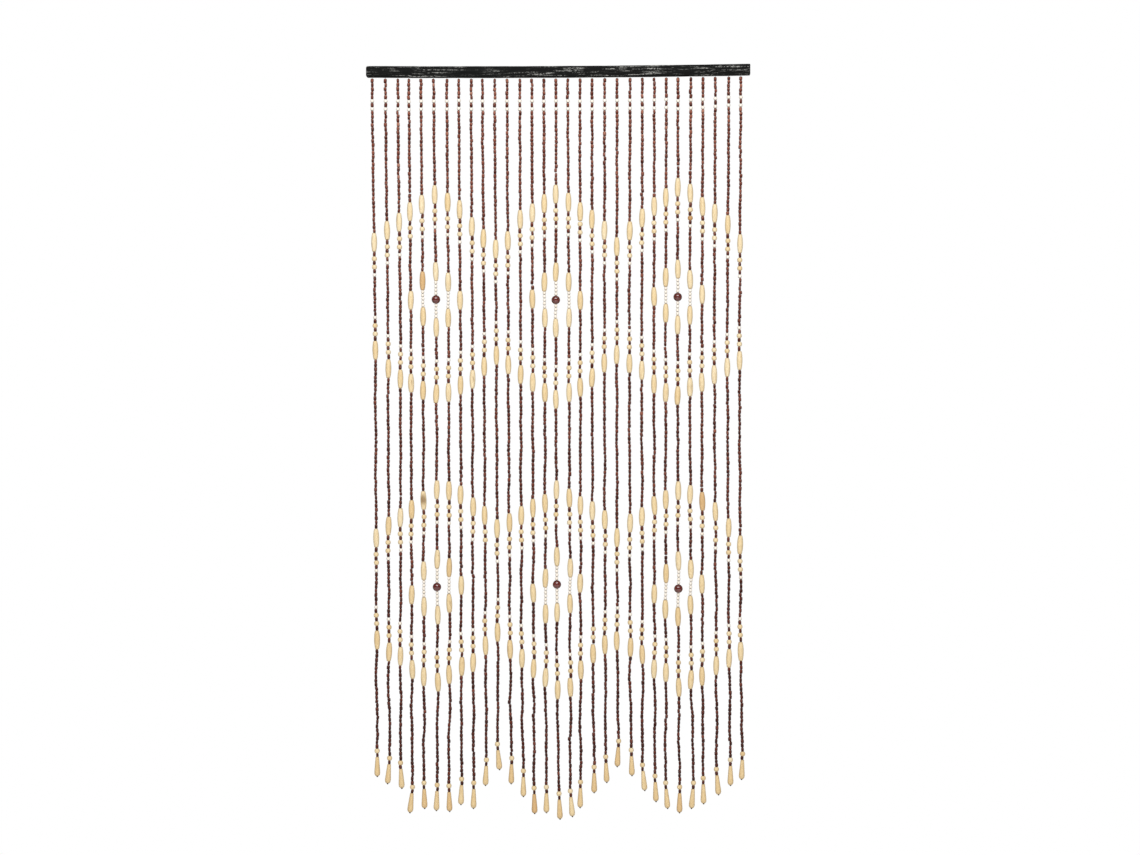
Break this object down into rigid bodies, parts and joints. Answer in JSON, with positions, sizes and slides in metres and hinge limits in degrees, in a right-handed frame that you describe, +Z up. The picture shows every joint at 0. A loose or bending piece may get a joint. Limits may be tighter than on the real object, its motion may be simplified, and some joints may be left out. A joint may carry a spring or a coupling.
{
  "type": "bead curtain with wooden header bar",
  "caption": "Doorway curtain of threaded wooden beads: brown bead strings with cream barrels in zigzag rows and eye motifs, hanging from a black wooden header bar.",
  "frame": {"origin": "middle of the header bar's flat back face, which lies against the wall or door frame", "axes": "+X along the bar to the viewer's right, +Y from the curtain into the wall, +Z up; the strings hang along -Z and the front looks towards -Y"},
  "size_m": [0.9, 0.0202, 1.7735],
  "materials": {
    "header_wood": "matt black paint, brushed thin so that the grain shows",
    "brown_beads": "dark red-brown stain, polished",
    "pale_beads": "bare pale wood, polished"
  },
  "bodies": {
    "root": {"header_bar": "header_wood", "string_comb": "brown_beads"}
  },
  "joints": []
}
